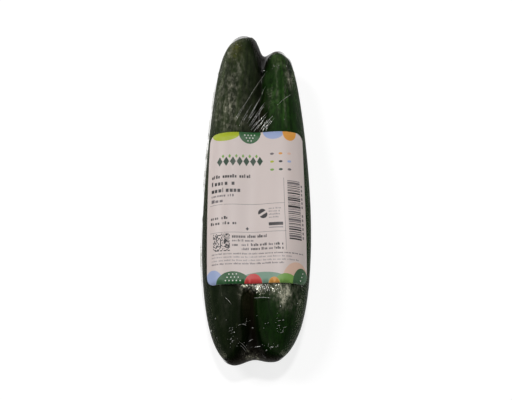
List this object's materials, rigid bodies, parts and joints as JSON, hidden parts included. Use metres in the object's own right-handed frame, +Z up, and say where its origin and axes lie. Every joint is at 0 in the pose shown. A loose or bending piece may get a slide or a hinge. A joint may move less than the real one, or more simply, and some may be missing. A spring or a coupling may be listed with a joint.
{
  "type": "shrink-wrapped pair of cucumbers",
  "caption": "Slender dark green cucumbers wrapped side by side in clear shrink film, with a printed paper label across the top. Lies flat on a shelf, tray or table.",
  "frame": {"origin": "on the surface the pack lies on, under the middle of its box", "axes": "+Z up from the surface through the label, +Y along the cucumbers towards their stem ends, +X across them towards the shorter cucumber"},
  "size_m": [0.0642, 0.2118, 0.0336],
  "materials": {
    "skin_left": "satin waxy skin, olive green, hazy",
    "skin_right": "satin waxy skin, deep green with paler lengthwise stripes",
    "clear_film": "clear glossy shrink film",
    "label_paper": "smooth coated paper, semi-matt, colour print"
  },
  "bodies": {
    "root": {"cucumber_left": "skin_left", "cucumber_right": "skin_right", "film": "clear_film", "label": "label_paper"}
  },
  "joints": []
}
